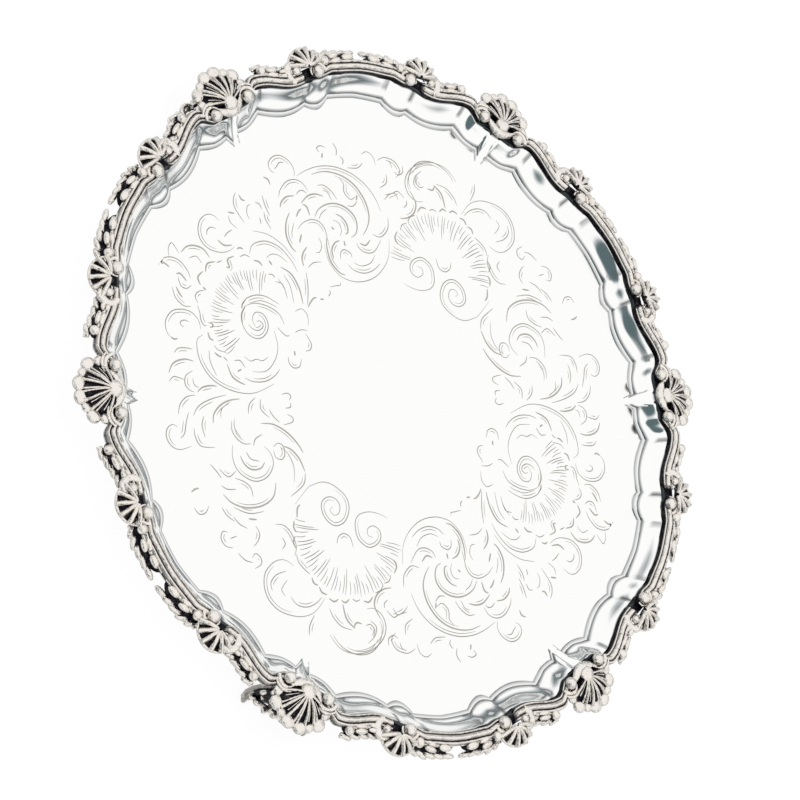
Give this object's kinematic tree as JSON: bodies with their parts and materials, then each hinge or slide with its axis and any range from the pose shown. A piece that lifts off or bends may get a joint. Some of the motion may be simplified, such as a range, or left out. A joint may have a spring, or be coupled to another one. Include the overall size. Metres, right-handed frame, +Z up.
{
  "type": "footed salver",
  "caption": "Round silver-plated footed salver used as an offering plate: scalloped border with shells and leaf scrolls, on low scroll feet.",
  "frame": {"origin": "on the table, under the plate's centre", "axes": "+Z up, square to the floor of the tray; +X towards large_shell_1, which stands over foot_1"},
  "size_m": [0.318, 0.305, 0.027],
  "materials": {
    "tray_silver": "polished silver plate, engraved",
    "mount_silver": "polished silver plate, oxidised in the recesses",
    "foot_silver": "cast silver plate, oxidised in the recesses"
  },
  "bodies": {
    "root": {"tray_body": "tray_silver", "border_strip_1": "mount_silver", "border_strip_2": "mount_silver", "border_strip_3": "mount_silver", "border_strip_4": "mount_silver", "border_strip_5": "mount_silver", "border_strip_6": "mount_silver", "large_shell_1": "mount_silver", "large_shell_2": "mount_silver", "large_shell_3": "mount_silver", "large_shell_4": "mount_silver", "large_shell_5": "mount_silver", "large_shell_6": "mount_silver", "small_shell_1": "mount_silver", "small_shell_2": "mount_silver", "small_shell_3": "mount_silver", "small_shell_4": "mount_silver", "small_shell_5": "mount_silver", "small_shell_6": "mount_silver", "small_shell_7": "mount_silver", "small_shell_8": "mount_silver", "small_shell_9": "mount_silver", "small_shell_10": "mount_silver", "small_shell_11": "mount_silver", "small_shell_12": "mount_silver", "inner_spray_1": "mount_silver", "inner_spray_2": "mount_silver", "inner_spray_3": "mount_silver", "inner_spray_4": "mount_silver", "inner_spray_5": "mount_silver", "inner_spray_6": "mount_silver", "inner_spray_7": "mount_silver", "inner_spray_8": "mount_silver", "inner_spray_9": "mount_silver", "inner_spray_10": "mount_silver", "inner_spray_11": "mount_silver", "inner_spray_12": "mount_silver", "seam_spray_1": "mount_silver", "seam_spray_2": "mount_silver", "seam_spray_3": "mount_silver", "seam_spray_4": "mount_silver", "seam_spray_5": "mount_silver", "seam_spray_6": "mount_silver", "seam_spray_7": "mount_silver", "seam_spray_8": "mount_silver", "seam_spray_9": "mount_silver", "seam_spray_10": "mount_silver", "seam_spray_11": "mount_silver", "seam_spray_12": "mount_silver", "foot_1": "foot_silver", "foot_2": "foot_silver", "foot_3": "foot_silver"}
  },
  "joints": []
}
